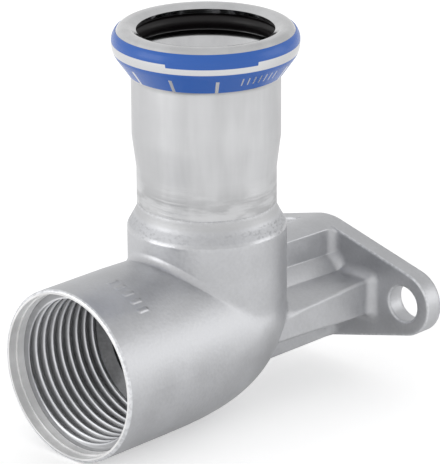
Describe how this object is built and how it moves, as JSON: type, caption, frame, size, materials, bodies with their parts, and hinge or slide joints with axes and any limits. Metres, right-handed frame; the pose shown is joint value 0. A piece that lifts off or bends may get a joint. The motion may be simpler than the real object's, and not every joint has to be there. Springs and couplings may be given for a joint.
{
  "type": "offset elbow",
  "caption": "Stainless wall elbow with a press socket facing up, a female parallel thread facing forwards and a ribbed column behind to a diamond two-hole wall flange.",
  "frame": {"origin": "where the thread's axis meets the wall face of the flange", "axes": "+Z along the press socket towards its mouth, +Y out of the wall face into the wall, the thread faces -Y"},
  "size_m": [0.05, 0.0621, 0.0658],
  "materials": {
    "cast_steel": "satin",
    "tube_steel": "satin",
    "seal_rubber": "satin",
    "indicator_film": "gloss"
  },
  "bodies": {
    "root": {"elbow_body": "cast_steel", "press_socket": "tube_steel", "seal_ring": "seal_rubber", "press_indicator": "indicator_film"}
  },
  "joints": []
}
